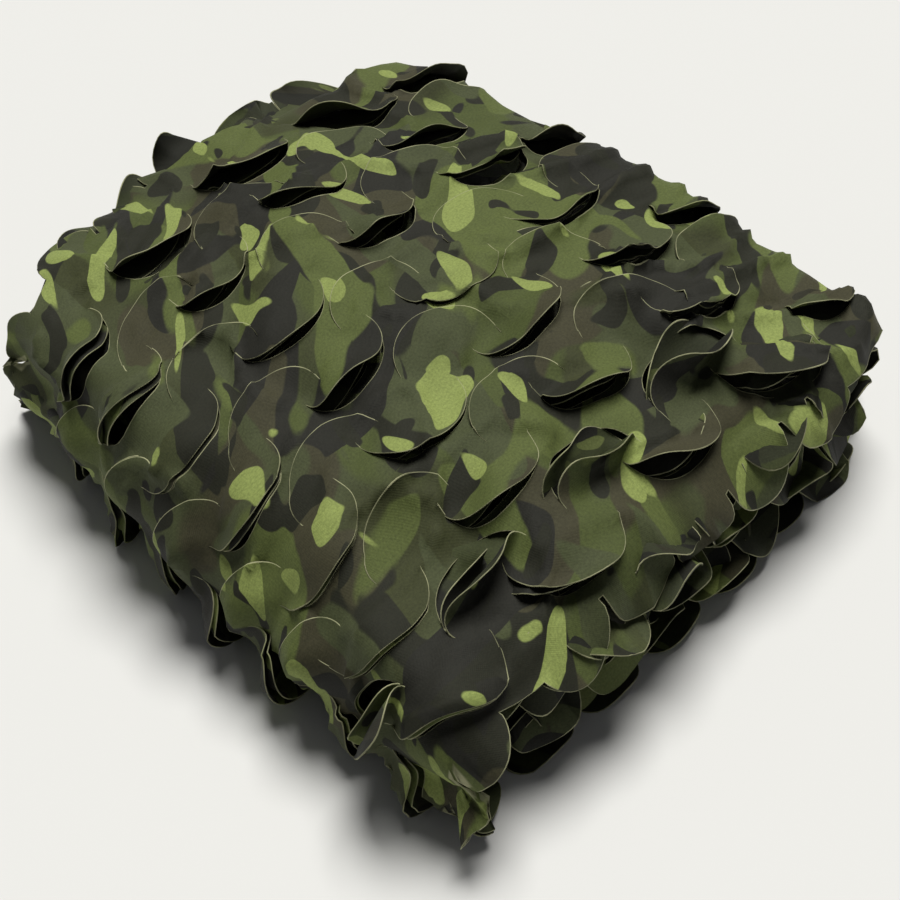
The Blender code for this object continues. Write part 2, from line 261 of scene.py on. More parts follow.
def foldPoints(u, v):
    # where points of the flat cloth lie in the wad
    placed = np.zeros((len(u), 3))
    for span in spans:
        inSpan = (u > span["start"]) | (span is spans[0])
        inSpan &= (u <= span["end"]) | (span is spans[-1])
        if not inSpan.any():
            continue
        share = (u[inSpan] - span["start"]) / span["length"]
        across = (v[inSpan] + halfWidth) / fold["width"]
        x = span["fromX"] + (span["toX"] - span["fromX"]) * share
        mix = np.zeros_like(share)
        if span["bend"]:
            turn = math.pi * np.clip(share, 0, 1)
            mix = (1 - np.cos(turn)) / 2
            rounded = np.sin(turn) ** (fold["wrapSquareness"] if span is wrapSpan else 1.0)
            x += span["bulge"] * rounded
            if span is wrapSpan:
                corner = (across - fold["cornerFrom"]) / (1 - fold["cornerFrom"])
                x += fold["cornerEase"] * rounded * np.clip(corner, 0, fold["cornerUpTo"]) ** 2
        first, second = layers[span["lower"]]["shift"], layers[span["upper"]]["shift"]
        shift = first + (second - first) * mix
        y = fold["frontEdge"] + (backEdge(x) - fold["frontEdge"]) * across + shift
        x = x * (1 - fold["narrowing"] * y)
        low = layerHeight(span["lower"], x, y)
        high = layerHeight(span["upper"], x, y)
        placed[inSpan] = np.stack([x, y, low + (high - low) * mix], axis=1)
    return placed


def clothNormals(u, v, step=0.0015):
    along = foldPoints(u + step, v) - foldPoints(u - step, v)
    across = foldPoints(u, v + step) - foldPoints(u, v - step)
    normals = np.cross(along, across)
    across /= np.linalg.norm(across, axis=1)[:, None]
    return normals / np.linalg.norm(normals, axis=1)[:, None], across


def leafRows(side):
    limit = halfWidth - leafCut["rowMargin"]
    count = int(fold["width"] / leafCut["rowPitch"])
    rows = [leafCut["firstRow"] + leafCut["rowPitch"] * row for row in range(count)]
    return [v for v in rows if max(abs(v), abs(v + side * leafCut["depth"])) < limit]


def crossesTopBend(v):
    # every other row ends in a leaf that reaches from the top over its bend
    return round((v - leafCut["firstRow"]) / leafCut["rowPitch"]) % 2 == 1


def leafKind(chance, u, v, side):
    onTop = u > topStart
    if onTop and abs(v) > leafCut["rimRow"]:
        return "rolled" if v < 0 < side else "rim"
    if side < 0 and u < wrapStart + leafCut["lobesUpTo"]:
        return "lobe"
    if side > 0 and not onTop and v == leafCut["firstRow"]:
        return "rolled"
    pick = chance.random()
    for kind, share in kindShares[("top" if onTop else "wrap", side)]:
        pick -= share
        if pick < 0:
            break
    return kind


plainLeaf = dict(gap=0.0, tilt=0.0, phase=0.0, swell=0.0, way=1, bend=False)


def freshLeaf(chance, u, v, side, kept, kindName=None, size=1.0):
    # a leaf a little off its place and leaning, clear of the cuts made so far
    kindName = kindName or leafKind(chance, u, v, side)
    kind = leafKinds[kindName]
    part = "top" if u > topStart else "wrap"
    swell = (0.0, 0.0) if kindName == "rolled" else leafCut[part + "Swell"]
    wander = leafCut["wander"]
    for attempt in range(leafCut["tries"]):
        ease = 1 - attempt / (leafCut["tries"] - 1)
        leaf = dict(plainLeaf, side=side, u=u + chance.uniform(-wander, wander) * ease,
                    v=v + chance.uniform(-wander, wander) * ease,
                    tilt=math.radians(chance.uniform(*leafCut[part + "Lean"])) * ease,
                    size=chance.uniform(*leafCut["sizes"]) * size, turn=chance.uniform(*kind["turn"]),
                    gap=chance.uniform(*kind["gap"]), skew=chance.uniform(*leafCut["skew"]) * -side,
                    phase=chance.uniform(0, 2 * math.pi), swell=chance.uniform(*swell))
        line = np.array(leafToCloth(leaf, leafLine(leaf)))
        if all(np.hypot(*(line[:, None] - other[None]).transpose(2, 0, 1)).min() > leafCut["clear"]
               for other in kept if np.hypot(*(other[0] - line[0])) < 2 * leafCut["pitch"]):
            break
    kept.append(line)
    return leaf


def leafBeneath(chance, leaf, atBack):
    # the layer beneath is cut in register, and its leaf nests under the top's
    share = chance.uniform(*nestedLeaf["close" if chance.random() < nestedLeaf["oftenClose"] else "flat"])
    return dict(leaf, way=-1, tilt=-leaf["tilt"], skew=-leaf["skew"],
                u=pairSpan["end"] - (leaf["u"] - topStart) * (pairSpan["length"] / topSpan["length"]),
                turn=nestedLeaf["backTurn"] if atBack else leaf["turn"] * share,
                gap=0.0 if atBack else leaf["gap"] * chance.uniform(*nestedLeaf["gap"]))


def topLeaves(chance):
    # leaves of the outer turn and the top
    half, pitch = leafCut["half"], leafCut["pitch"]
    leaves, kept = [], []
    first, last = wrapStart + half, topEnd - half
    for side in (-1, 1):
        middle = topStart + leafCut["liftedX"] + (0 if side < 0 else pitch / 2)
        for v in leafRows(side):
            overBend = side > 0 and crossesTopBend(v)
            for u in [middle + pitch * number for number in range(*leafCut["columns"])]:
                if first < u < last + (half / 2 if overBend else 0):
                    leaves.append(freshLeaf(chance, u, v, side, kept))
                    if topStart + half < u < last:
                        leaves.append(leafBeneath(chance, leaves[-1], v > leafCut["rimRow"]))
    for v in leafRows(-1):
        if not crossesTopBend(v):
            u = last + half - leafCut["endLeafIn"]
            leaves.append(freshLeaf(chance, u, v, -1, kept, "rim", leafCut["endLeafSize"]))
    return leaves


def rimLeaves(chance, span, side):
    leaves = []
    along = leafCut["half"] + chance.uniform(*rimLeaf["first"])
    while along < span["length"] - leafCut["half"] - rimLeaf["endRoom"]:
        leaf = dict(plainLeaf, u=span["start"] + along, v=side * rimLeaf["hinge"], side=side)
        for name in ("turn", "gap", "tilt", "size", "skew", "phase"):
            leaf[name] = chance.uniform(*rimLeaf[name])
        leaf.update(tilt=math.radians(leaf["tilt"]), way=chance.choice((-1, 1)))
        leaves.append(leaf)
        along += rimLeaf["pitch"] * chance.uniform(*rimLeaf["spacing"])
    return leaves


def leafOverBend(chance, span, v):
    atFront = v == leafCut["firstRow"]
    size = bendLeaf["frontSize"] if atFront else chance.uniform(*bendLeaf["sizes"])
    lift = bendLeaf["lift"] * size * chance.uniform(*bendLeaf["frontLifts" if atFront else "lifts"])
    height = (layers[span["lower"]]["share"] + layers[span["upper"]]["share"]) / 2
    curl = chance.uniform(*bendLeaf["frontCurls" if atFront else "curls"])
    curl *= min(1.0, (height / bendLeaf["curlFrom"]) ** 2)
    return dict(plainLeaf, u=span["start"] + span["length"] / 2, side=-1, turn=lift, size=size,
                v=v + chance.uniform(-bendLeaf["wander"], bendLeaf["wander"]),
                skew=chance.uniform(*bendLeaf["skew"]), bend=True, curl=curl)


def cutLeaves():
    # every leaf cut: middle of its hinge, the way it points, how it is turned
    chance = random.Random(seeds["leaves"])
    leaves = topLeaves(chance)
    for span in spans:
        if not span["bend"] and 0 < span["lower"] < topLayer - 1:
            for side in (-1, 1):
                leaves += rimLeaves(chance, span, side)
    for span in spans:
        if span["bend"] and span["towardsRight"] and span["lower"] != topLayer:
            leaves += [leafOverBend(chance, span, v) for v in leafRows(-1)]
    return leaves


def ovalLine(half, depth, step, fine=200):
    # points evenly spaced round a half oval
    power = leafCut["roundness"]
    p = np.sin(np.linspace(-1, 1, fine + 1) * math.pi / 2)
    q = (1 - np.abs(p) ** power) ** (1 / power)
    lengths = np.concatenate([[0.0], np.cumsum(np.hypot(np.diff(p * half), np.diff(q * depth)))])
    places = np.linspace(0, lengths[-1], max(leafCut["leastSteps"], round(lengths[-1] / step)) + 1)
    return list(zip(np.interp(places, lengths, p * half), np.interp(places, lengths, q * depth)))


def leafToCloth(leaf, line):
    # from a leaf's own frame, p along its hinge and q out to its tip, to the flat cloth
    cos, sin, side = math.cos(leaf["tilt"]), math.sin(leaf["tilt"]), leaf["side"]
    return [(leaf["u"] + p * cos - q * side * sin, leaf["v"] + p * sin + q * side * cos) for p, q in line]


def clothToLeaf(leaf, uv):
    cos, sin = math.cos(leaf["tilt"]), math.sin(leaf["tilt"])
    du, dv = uv[:, 0] - leaf["u"], uv[:, 1] - leaf["v"]
    return du * cos + dv * sin, (dv * cos - du * sin) * leaf["side"]


def leafLine(leaf):
    return ovalLine(leafCut["half"] * leaf["size"], leafCut["depth"] * leaf["size"], leafCut["arcStep"])


def offsetLine(line, distance):
    # a line beside another one
    du, dv = np.gradient(np.array(line), axis=0).T
    across = np.stack([-dv, du], axis=1) / np.hypot(du, dv)[:, None]
    return (np.array(line) + across * distance).tolist()


def edgeLeafPlaces(span):
    if span is wrapSpan:
        return [span["start"] + span["length"] * share for share in edgeLeaf["wrapPlaces"]]
    if span["bend"]:
        return []
    margin, places = edgeLeaf["margin"], []
    along = layers[span["lower"]]["leaf"]
    while along < span["length"] - margin:
        offset = along if span["towardsRight"] else span["length"] - along
        if margin < offset < span["length"] - margin:
            places.append(span["start"] + offset)
        along += edgeLeaf["pitch"]
    return sorted(places)


def cutEdgeLine(side):
    # one cut edge of the cloth from end to end, with the leaves that stick out past it
    edge = side * halfWidth
    half = leafCut["half"] * edgeLeaf["width"]
    least, more = edgeLeaf["depths"]
    line = [(0.0, edge)]

    def straightTo(u):
        start = line[-1][0]
        if u - start > 1e-4:
            count = max(1, round((u - start) / edgeLeaf["edgeStep"]))
            line.extend((start + (u - start) * k / count, edge) for k in range(1, count + 1))

    for span in spans:
        kind = "hemDepth" if span is topSpan and side < 0 else "depth"
        if span is pairSpan and side > 0:
            kind = "backDepth"
        for place in edgeLeafPlaces(span):
            depth = edgeLeaf[kind] * (least + more * abs(math.sin(place * edgeLeaf["depthSeed"] + side)))
            straightTo(place - half)
            oval = ovalLine(half, depth, edgeLeaf["arcStep"])
            line.extend((place + p, edge + side * q) for p, q in oval[1:])
        straightTo(span["end"])
    return line


def insideOutline(points, outline):
    # which of many points lie inside a closed outline
    x, y = points[:, 0], points[:, 1]
    crossings = np.zeros(len(points), int)
    for (ax, ay), (bx, by) in zip(outline, outline[1:] + outline[:1]):
        if ay != by:
            crossings += ((ay > y) != (by > y)) & (x < ax + (y - ay) * (bx - ax) / (by - ay))
    return crossings % 2 == 1


def gridSteps(span):
    # spacing of points along and across the cloth
    for outer, name in ((wrapSpan, "wrapStep"), (topSpan, "topStep"), (pairSpan, "pairStep")):
        if span is outer:
            return weft[name], weft[name]
    if span["bend"]:
        return span["length"] / weft["bendSteps"], weft["topStep" if span["lower"] == topLayer else "rimStep"]
    return weft["rimStep"], weft["rimStep"]


def gridPoints(chance):
    # points of the open cloth, close together where it shows
    points = []
    for span in spans:
        step, rowStep = gridSteps(span)
        hidden = not span["bend"] and span["lower"] < topLayer - 1
        columns = max(2, round(span["length"] / step))
        rows = round(fold["width"] / rowStep)
        coarse = round(weft["innerStep"] / step)
        jitter = weft["jitter"] * step
        across = weft["bendJitter"] if span["bend"] else 1.0
        for column in range(columns + (span is spans[-1])):
            u = span["start"] + span["length"] * column / columns
            for row in range(1, rows):
                v = (row / rows - 0.5) * fold["width"]
                if hidden and halfWidth - abs(v) > weft["rimReach"] and (column % coarse or row % coarse):
                    continue
                points.append((u + (chance.uniform(-jitter, jitter) if column else 0.0),
                               v + chance.uniform(-jitter, jitter) * across))
    return points


def farFrom(lines, points, clear):
    # the points that keep clear of many line points
    tree = KDTree(len(lines))
    for index, (x, y) in enumerate(lines):
        tree.insert((x, y, 0.0), index)
    tree.balance()
    return [(x, y) for x, y in points if tree.find((x, y, 0.0))[2] > clear]


def flatCloth(leaves):
    # flat triangles, with each slit's two lips apart and a narrow band along every cut
    points, edges, lips, slitPoints = [], [], [], []

    def addLine(line):
        first = len(points)
        points.extend(line)
        edges.extend((first + k, first + k + 1) for k in range(len(line) - 1))
        return list(range(first, first + len(line)))

    front, back = cutEdgeLine(-1), cutEdgeLine(1)
    border = front + back[::-1]
    borderIndices = addLine(border)
    edges.append((borderIndices[-1], borderIndices[0]))
    band = weft["edgeBand"]
    for line, distance in ((front, band), (back, -band)):
        addLine([(max(band, min(clothLength - band, x)), y) for x, y in offsetLine(line, distance)])
    for leaf in leaves:
        line = leafLine(leaf)
        slit = leafToCloth(leaf, line)
        lip = addLine(slit)
        lips.append(lip)
        slitPoints += slit
        for distance in (band, -band):
            beside = addLine(leafToCloth(leaf, offsetLine(line, distance)[1:-1]))
            edges += [(lip[0], beside[0]), (beside[-1], lip[-1])]
    points += farFrom(slitPoints + border, gridPoints(random.Random(seeds["points"])), weft["cutClear"])
    verts, _, faces, sources, _, _ = delaunay_2d_cdt([Vector(p) for p in points], edges, [], 1, 1e-7, True)
    uv = [tuple(p) for p in verts]
    newIndex = {source: index for index, origin in enumerate(sources) for source in origin}
    faces = np.array([f for f in faces if len(f) == 3])
    middles = np.array(uv)[faces].mean(axis=1)
    onCloth = (np.abs(middles[:, 1]) < halfWidth) | insideOutline(middles, border)
    faces, middles = faces[onCloth], middles[onCloth]

    # the lip on the leaf's side gets points of its own, apart from the slit's two ends
    leafOf = {}
    onCut = set(newIndex[k] for k in borderIndices)
    for number, (leaf, lip) in enumerate(zip(leaves, lips)):
        outline = [uv[newIndex[k]] for k in lip]
        far = np.hypot(*(middles - (leaf["u"], leaf["v"])).T)
        close = np.nonzero(far < leafCut["half"] * weft["leafReach"])[0]
        twin = {}
        for k in lip[1:-1]:
            twin[newIndex[k]] = len(uv)
            onCut.update((newIndex[k], len(uv)))
            uv.append(uv[newIndex[k]])
        for row in close[insideOutline(middles[close], outline)]:
            for corner in range(3):
                index = faces[row, corner]
                faces[row, corner] = twin.get(index, index)
                leafOf[faces[row, corner]] = number
    used, faces = np.unique(faces, return_inverse=True)
    cutEdge = np.array([index in onCut for index in used], float)
    leafNumber = np.array([leafOf.get(index, -1) for index in used])
    return np.array(uv)[used], faces.reshape(-1, 3), cutEdge, leafNumber


# a second cloth lies just inside the outer turn, cut in register with it
innerTurn = dict(
    behind=0.0024,
    reachBelow=0.012,  # how far it goes on under the wad
    reachAbove=0.050,  # and in under the top
    sink=0.007,  # how far that end lies below the top
    sinkFrom=0.01,
    backLimit=0.196,  # it ends short of the outer one's back edge
    turnShare=0.72, gapShare=0.45, printShift=(0.31, 0.17),
)


def withInnerTurn(uv, faces, cutEdge, leafNumber):
    first = wrapStart - innerTurn["reachBelow"]
    last = topStart + innerTurn["reachAbove"]
    inside = (uv[:, 0] > first) & (uv[:, 0] < last) & (uv[:, 1] < innerTurn["backLimit"])
    sources, copied = np.unique(faces[inside[faces].all(axis=1)], return_inverse=True)
    faces = np.concatenate([faces, len(uv) + copied.reshape(-1, 3)])
    isInner = np.arange(len(uv) + len(sources)) >= len(uv)
    uv, cutEdge, leafNumber = (np.concatenate([kept, kept[sources]]) for kept in (uv, cutEdge, leafNumber))
    return uv, faces, cutEdge, leafNumber, isInner


leaves = cutLeaves()
flatUv, clothFaces, cutEdge, leafNumber, isInner = withInnerTurn(*flatCloth(leaves))
print("cloth cut:", len(flatUv), "points,", len(clothFaces), "triangles,", len(leaves), "leaves")

# unevenness of the cloth: height, scale per metre and place in the noise
crumple = dict(
    broad=dict(height=0.0062, scale=13.0, place=1.7),
    fine=dict(height=0.0026, scale=34.0, place=5.1),
    crease=dict(height=0.0038, scale=21.0, place=9.3, stretch=0.6, sharpness=6),
    hiddenShare=0.25,  # how strong it is deep inside
    wrapShare=1.15,  # how much stronger it is on the outer turn
    bendShare=1.7,  # and on the top next to its bend
    bendReach=0.150,
    bendReachBeneath=0.05,
)

# puckers that run out from the ends of the cuts
pucker = dict(
    height=0.0048, reach=0.019, backReach=0.006, width=0.0036, drop=0.004, heading=(-0.9, 0.9),
    strength=(-0.6, 1.0),
    openFrom=0.3,  # leaves turned less than this have weaker ones
    closedShare=0.6,
    widths=4, before=0.02, after=0.06,  # each one is left out beyond this
)

# each leaf stands out a little, and the cloth beyond its tip hangs back
shingle = dict(
    swell=0.0062,
    swellAt=0.6,  # share of the leaf's depth
    swellReach=0.019, sag=0.0036, sagReach=0.010, openFrom=0.5, beside=0.015, behind=0.005,
    beyond=0.02,
)

rimTurn = dict(
    topBack=(-0.7, 0.3), pairBack=(0.9, 1.6),
    corner=(-0.6, 0.0),  # at the right front corner of the top
    cornerFrom=0.85, wrapBack=(0.45, 0.9), topFront=(-2.1, -0.8),
    wrapFrontShare=0.35,  # those at the front corner of the outer turn stay nearly flat
    floorShare=0.3,  # and so do those on the floor
    up=(0.4, 2.2), down=(0.5, 2.3), upShare=0.45, skew=(-0.8, 0.8), leastBow=0.5,
    cup=(-0.004, 0.014),  # how far a leaf's two sides bend round
    cupMiddle=0.3, floorClear=0.0005,
)

# the cut edges of the layers wave up and down and in and out, each a little in its own way
ruffle = dict(
    lift=0.0150, slide=0.0140,
    along=15.0,  # waves per metre
    between=36.0,  # change from layer to layer, per metre of height
    slideAlong=0.8, slideBetween=1.4, places=(3.0, 9.0), reach=0.060, outerRamps=(0.05, 0.03),
    floorShare=0.15, floorUpTo=0.006,
)

# the two ends of the cloth lie loose, one on the floor and one on the layer above it
looseEnd = dict(
    reach=0.060, slide=0.024, lift=0.010,
    along=14.0,  # waves per metre
    places=(3.3, 8.8), kinds=(0.4, 5.9),
)

# where the cloth shows: how softly that begins and ends, and how far it holds at the rims
shown = dict(
    before=0.03, after=0.02, rimIn=0.01, rimShare=0.95,
)


def wave(x, y, z):
    return noise.noise(Vector((x, y, z)))


def smoothShare(value, first, last):
    t = np.clip((value - first) / (last - first), 0, 1)
    return t * t * (3 - 2 * t)


def betweenShare(u, first, last, ramp, endRamp):
    return smoothShare(u, first, first + ramp) * (1 - smoothShare(u, last - endRamp, last))


def loosened(uv):
    # moves of the cloth near its two ends
    move = np.zeros((len(uv), 3))
    share = 1 - smoothShare(np.minimum(uv[:, 0], clothLength - uv[:, 0]), 0.0, looseEnd["reach"])
    for row in np.nonzero(share > 0)[0]:
        place = looseEnd["places"][0 if uv[row, 0] < clothLength / 2 else 1]
        slide, lift = (abs(wave(place, uv[row, 1] * looseEnd["along"], z)) for z in looseEnd["kinds"])
        move[row] = share[row] * np.array([-looseEnd["slide"] * slide, 0.0, looseEnd["lift"] * lift])
    return move


def crumpled(uv):
    # unevenness along the cloth's normal
    broad, fine, crease = crumple["broad"], crumple["fine"], crumple["crease"]
    lift = np.zeros(len(uv))
    for index, (u, v) in enumerate(uv):
        sharp = wave(u * crease["scale"] * crease["stretch"], v * crease["scale"], crease["place"])
        lift[index] = (broad["height"] * wave(u * broad["scale"], v * broad["scale"], broad["place"])
                       + fine["height"] * wave(u * fine["scale"], v * fine["scale"], fine["place"])
                       + crease["height"] * max(0.0, 1 - abs(sharp) * crease["sharpness"]) ** 2)
    return lift


def ruffled(uv, placed, normals, across):
    # moves of the cloth near its two cut edges
    edgeShare = smoothShare(np.abs(uv[:, 1]), halfWidth - ruffle["reach"], halfWidth)
    onOuter = betweenShare(uv[:, 0], wrapStart, topEnd, *ruffle["outerRamps"])
    along, between = ruffle["along"], ruffle["between"]
    sidePlace, slidePlace = ruffle["places"]
    move = np.zeros_like(placed)
    for row in np.nonzero(edgeShare > 0)[0]:
        x, _, z = placed[row]
        side = sidePlace if uv[row, 1] > 0 else -sidePlace
        rise = wave(x * along, side, z * between)
        slide = wave(x * along * ruffle["slideAlong"], side + slidePlace,
                     z * between * ruffle["slideBetween"])
        way = normals[row] * onOuter[row] + np.array([0.0, 0.0, 1.0 - onOuter[row]])
        share = edgeShare[row] * (ruffle["floorShare"] if z < ruffle["floorUpTo"] else 1.0)
        move[row] = share * (ruffle["lift"] * rise * way + ruffle["slide"] * slide * across[row])
    return move


def puckered(uv):
    # small ridges that run out from the ends of the cuts
    chance = random.Random(seeds["puckers"])
    width = pucker["width"]
    lift = np.zeros(len(uv))
    for leaf in leaves:
        p, q = clothToLeaf(leaf, uv)
        for end in (-1, -1, 1, 1):
            heading = chance.uniform(*pucker["heading"])
            cos, sin = math.cos(heading), math.sin(heading)
            strength = chance.uniform(*pucker["strength"])
            strength *= 1 if leaf["turn"] > pucker["openFrom"] else pucker["closedShare"]
            du = (p - end * leafCut["half"] * leaf["size"]) * end
            dv = q + pucker["drop"]
            along, across = du * cos + dv * sin, dv * cos - du * sin
            near = np.abs(across) < pucker["widths"] * width
            near &= (along > -pucker["before"]) & (along < pucker["after"])
            reach = np.where(along[near] < 0, pucker["backReach"], pucker["reach"])
            shape = np.exp(-(along[near] / reach) ** 2 - (across[near] / width) ** 2)
            lift[near] += leaf["way"] * strength * pucker["height"] * shape
    return lift


def shingled(uv):
    lift = np.zeros(len(uv))
    half, depth = leafCut["half"], leafCut["depth"]
    for leaf in leaves:
        if leaf["bend"]:
            continue
        p, q = clothToLeaf(leaf, uv)
        bulge = np.exp(-(p ** 2 + (q - depth * shingle["swellAt"]) ** 2) / shingle["swellReach"] ** 2)
        lift += leaf["way"] * shingle["swell"] * leaf["swell"] * bulge
        near = np.nonzero((np.abs(p) < half + shingle["beside"]) & (q > -shingle["behind"])
                          & (q < depth + shingle["beyond"]) & (leafNumber < 0))[0]
        arc = np.array(leafLine(leaf))
        gaps = np.hypot(p[near][:, None] - arc[None, :, 0], q[near][:, None] - arc[None, :, 1])
        nearest = gaps.argmin(axis=1)
        weight = (1 - (arc[nearest, 0] / half) ** 2) * min(1.0, leaf["turn"] / shingle["openFrom"])
        hang = np.exp(-(gaps.min(axis=1) / shingle["sagReach"]) ** 2)
        lift[near] -= leaf["way"] * shingle["sag"] * weight * hang
    return lift


def showing(uv):
    # 1 on the outer turn, on the topmost two layers and at the rims, 0 deep inside the wad
    u, start, end = uv[:, 0], wrapStart, pairSpan["end"]
    before, after = shown["before"], shown["after"]
    outer = smoothShare(u, start - before, start + after) * (1 - smoothShare(u, end - after, end + before))
    rim = smoothShare(np.abs(uv[:, 1]), halfWidth - ruffle["reach"], halfWidth - shown["rimIn"])
    return np.maximum(outer, shown["rimShare"] * rim * smoothShare(u, start - before, start))


def bentRound(bow, q):
    # how far cloth bent round evenly lifts and draws back, at a distance q from where it starts
    return (1 - np.cos(bow * q)) / bow, q - np.sin(bow * q) / bow


def turnedLeaves(uv, placed, normals, across):
    power = leafCut["roundness"]
    for number, leaf in enumerate(leaves):
        half, depth = leafCut["half"] * leaf["size"], leafCut["depth"] * leaf["size"]
        for inner in (False, True):
            rows = np.nonzero((leafNumber == number) & (isInner == inner))[0]
            p, q = clothToLeaf(leaf, uv[rows])
            p = np.clip(p / half, -1, 1)
            q = np.maximum(q, 0)
            if leaf["bend"]:
                cap = np.maximum(1 - np.abs(p) ** power, 1e-6) ** (1 / power)
                far = np.minimum(q / (depth * cap), 1) ** bendLeaf["archGrowth"]
                out = leaf["turn"] * cap * (1 + bendLeaf["skewShare"] * leaf["skew"] * p) * np.sin(
                    bendLeaf["arch"] * math.pi * far)
                rise = (leaf["curl"] * q / depth - bendLeaf["fall"]) * out
                placed[rows] += np.stack([out, np.zeros_like(out), rise], axis=1)
                continue
            turn = leaf["turn"] * (innerTurn["turnShare"] if inner else 1)
            gap = leaf["gap"] * (innerTurn["gapShare"] if inner else 1)
            tipped = 1 - leaf["skew"] * p if leaf["way"] > 0 else 1 + leaf["skew"] * p
            lift, back = bentRound(np.maximum(turn * tipped, leafCut["leastTurn"]) / depth, q)
            ripple = leafCut["wave"] * min(1, turn / leafCut["wavesFrom"])
            lift += ripple * np.sin(leaf["phase"] + leafCut["waves"] * p) * (q / depth) ** 2
            back = back + gap * np.maximum(tipped, 0) * (q / depth) ** leafCut["gapGrowth"]
            placed[rows] += normals[rows] * (leaf["way"] * lift)[:, None]
            placed[rows] -= across[rows] * (leaf["side"] * back)[:, None]


def edgeLeafTurn(chance, span, side, place, turn):
    # leaves past the cut edges that show most are turned as their place asks
    onTop, onFloor = span is topSpan, span["lower"] == 0 and not span["bend"]
    if onTop:
        turn = chance.uniform(*rimTurn["topBack" if side > 0 else "topFront"])
    if span is pairSpan and side > 0:
        turn = chance.uniform(*rimTurn["pairBack"])
    if onTop and side < 0 and place > span["start"] + rimTurn["cornerFrom"] * span["length"]:
        turn = chance.uniform(*rimTurn["corner"])
    if span is wrapSpan:
        turn = chance.uniform(*rimTurn["wrapBack"]) if side > 0 else turn * rimTurn["wrapFrontShare"]
    return abs(turn) * rimTurn["floorShare"] if onFloor else turn


def turnedEdgeLeaves(uv, placed, across):
    # leaves past the cut edges hang down or stand up, each in its own way
    chance = random.Random(seeds["edgeLeaves"])
    half, depth = leafCut["half"] * edgeLeaf["width"], edgeLeaf["depth"]
    for side in (-1, 1):
        outside = uv[:, 1] * side - halfWidth
        for span in spans:
            for place in edgeLeafPlaces(span):
                goesUp = chance.random() < rimTurn["upShare"]
                turn = chance.uniform(*rimTurn["up"]) if goesUp else -chance.uniform(*rimTurn["down"])
                skew = chance.uniform(*rimTurn["skew"])
                cup = chance.uniform(*rimTurn["cup"]) * (-1 if goesUp else 1)
                turn = edgeLeafTurn(chance, span, side, place, turn)
                rows = np.nonzero((outside > 0) & (np.abs(uv[:, 0] - place) <= half + 1e-6))[0]
                p = (uv[rows, 0] - place) / half
                q = outside[rows]
                bow = turn * (1 + skew * p) / depth
                bow = np.where(np.abs(bow) < rimTurn["leastBow"], rimTurn["leastBow"], bow)
                lift, back = bentRound(bow, q)
                lift += cup * (p ** 2 - rimTurn["cupMiddle"]) * q / depth
                if span is wrapSpan:
                    placed[rows, 0] -= lift
                else:
                    placed[rows, 2] += lift
                placed[rows] -= across[rows] * (side * back)[:, None]


slack = dict(
    growth=0.045,  # how much longer the showing cloth is than the smooth wad
    growthVaries=0.035,
    growthScale=9.0,  # per metre
    growthPlace=12.4, rounds=220, stiffness=0.42, edgesAtOnce=3, bending=0.03,
    hold=0.0015,  # pull back to the smooth wad where it shows
    holdHidden=0.4,
)


def gathered(a, b, atA, atB, count):
    # sum of what the edges bring to each point
    return np.stack([np.bincount(a, atA[:, axis], count) + np.bincount(b, atB[:, axis], count)
                     for axis in range(3)], axis=1)


def settled(uv, aim, share):
    # loose cloth buckles into wrinkles of its own: every edge tries to reach its full length
    corners = np.concatenate([clothFaces[:, pair] for pair in ([0, 1], [1, 2], [2, 0])])
    a, b = np.unique(np.sort(corners, axis=1), axis=0).T
    rest = np.linalg.norm(aim[b] - aim[a], axis=1)
    middles = (uv[a] + uv[b]) / 2 * slack["growthScale"]
    loose = np.array([wave(x, y, slack["growthPlace"]) for x, y in middles])
    rest *= 1 + np.maximum(slack["growth"] + slack["growthVaries"] * loose, 0) * share[a] * share[b]
    count = len(aim)
    degree = np.bincount(np.concatenate([a, b]), minlength=count)[:, None].astype(float)
    hold = (slack["hold"] * share + slack["holdHidden"] * (1 - share))[:, None]
    meanAim = gathered(a, b, aim[b], aim[a], count)
    place = aim.copy()
    for _ in range(slack["rounds"]):
        gap = place[b] - place[a]
        length = np.linalg.norm(gap, axis=1)
        push = gap * ((length - rest) / np.maximum(length, 1e-9) * 0.5)[:, None]
        mean = gathered(a, b, place[b], place[a], count)
        place += gathered(a, b, push, -push, count) * slack["stiffness"] / degree * slack["edgesAtOnce"]
        place += ((mean - meanAim) / degree - (place - aim)) * slack["bending"] * share[:, None]
        place += (aim - place) * hold
    return place


